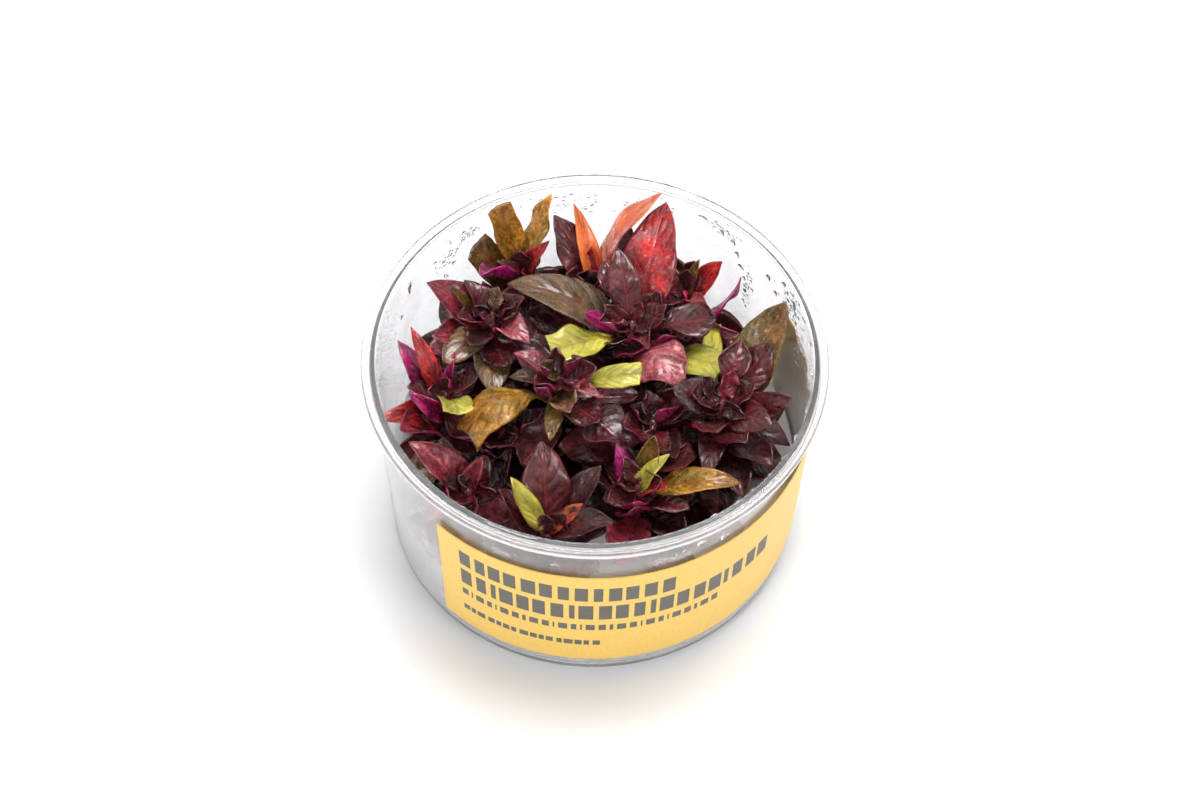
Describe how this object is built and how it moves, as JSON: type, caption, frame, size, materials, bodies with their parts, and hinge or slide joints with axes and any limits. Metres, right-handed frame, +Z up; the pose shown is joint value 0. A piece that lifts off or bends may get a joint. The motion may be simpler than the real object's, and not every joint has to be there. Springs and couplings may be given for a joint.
{
  "type": "cup of tissue-culture aquarium plants",
  "caption": "Clear tapered cup, open at the top, with a wrap label, set gel in its base and a dense tuft of red-leaved aquarium plantlets rooted in the gel.",
  "frame": {"origin": "centre of the underside of the cup", "axes": "+Z up along the cup's axis, -Y towards the middle of the label's front"},
  "size_m": [0.1, 0.1, 0.0592],
  "materials": {
    "clear_plastic": "clear moulded plastic, glossy, misted inside",
    "label": "yellow printed film with dark grey bars",
    "gel": "set clear gel, slightly cloudy, moist",
    "stem_and_small_leaves": "wet young leaves and stem, burgundy",
    "leaf_burgundy": "wet leaf, burgundy, with raised veins",
    "leaf_dark": "wet leaf, dark, with raised veins",
    "leaf_rose": "wet leaf, rose, with raised veins",
    "leaf_red": "wet leaf, red, with raised veins",
    "leaf_orange": "wet leaf, orange, with raised veins",
    "leaf_ochre": "wet leaf, ochre, with raised veins",
    "leaf_olive": "wet leaf, olive, with raised veins",
    "leaf_yellow": "wet leaf, yellow, with raised veins",
    "leaf_brown": "wet leaf, brown, with raised veins",
    "leaf_magenta": "wet leaf, magenta, with raised veins",
    "leaf_pink": "wet leaf, pink, with raised veins"
  },
  "bodies": {
    "root": {"cup": "clear_plastic", "label": "label", "gel": "gel", "stem_tall": "stem_and_small_leaves", "leaf_tall_1": "leaf_red", "leaf_tall_2": "leaf_brown", "leaf_tall_3": "leaf_pink", "leaf_tall_4": "leaf_burgundy", "leaf_tall_5": "leaf_burgundy", "leaf_tall_6": "leaf_yellow", "leaf_tall_7": "leaf_yellow", "stem_centre": "stem_and_small_leaves", "leaf_centre_1": "leaf_burgundy", "leaf_centre_2": "leaf_ochre", "leaf_centre_3": "leaf_yellow", "leaf_centre_4": "leaf_dark", "stem_right": "stem_and_small_leaves", "leaf_right_1": "leaf_olive", "leaf_right_2": "leaf_burgundy", "leaf_right_3": "leaf_burgundy", "leaf_right_4": "leaf_burgundy", "leaf_right_5": "leaf_burgundy", "leaf_right_6": "leaf_burgundy", "leaf_right_7": "leaf_burgundy", "stem_left_rear": "stem_and_small_leaves", "leaf_left_rear_1": "leaf_rose", "leaf_left_rear_2": "leaf_rose", "leaf_left_rear_3": "leaf_pink", "leaf_left_rear_4": "leaf_brown", "stem_rear_left": "stem_and_small_leaves", "leaf_rear_left_1": "leaf_ochre", "leaf_rear_left_2": "leaf_ochre", "leaf_rear_left_3": "leaf_olive", "leaf_rear_left_4": "leaf_magenta", "stem_rear": "stem_and_small_leaves", "leaf_rear_1": "leaf_burgundy", "leaf_rear_2": "leaf_orange", "stem_rear_right": "stem_and_small_leaves", "leaf_rear_right_1": "leaf_red", "leaf_rear_right_2": "leaf_magenta", "stem_front": "stem_and_small_leaves", "leaf_front_1": "leaf_burgundy", "leaf_front_2": "leaf_burgundy", "leaf_front_3": "leaf_dark", "stem_left": "stem_and_small_leaves", "leaf_left_1": "leaf_magenta", "leaf_left_2": "leaf_red", "leaf_left_3": "leaf_magenta", "leaf_left_4": "leaf_rose", "leaf_left_5": "leaf_yellow", "stem_front_right": "stem_and_small_leaves", "leaf_front_right_1": "leaf_ochre", "leaf_front_right_2": "leaf_magenta", "leaf_front_right_3": "leaf_olive", "leaf_front_right_4": "leaf_burgundy", "stem_front_left": "stem_and_small_leaves", "leaf_front_left_1": "leaf_rose", "leaf_front_left_2": "leaf_pink", "stem_middle_right": "stem_and_small_leaves", "stem_middle_left": "stem_and_small_leaves"}
  },
  "joints": []
}
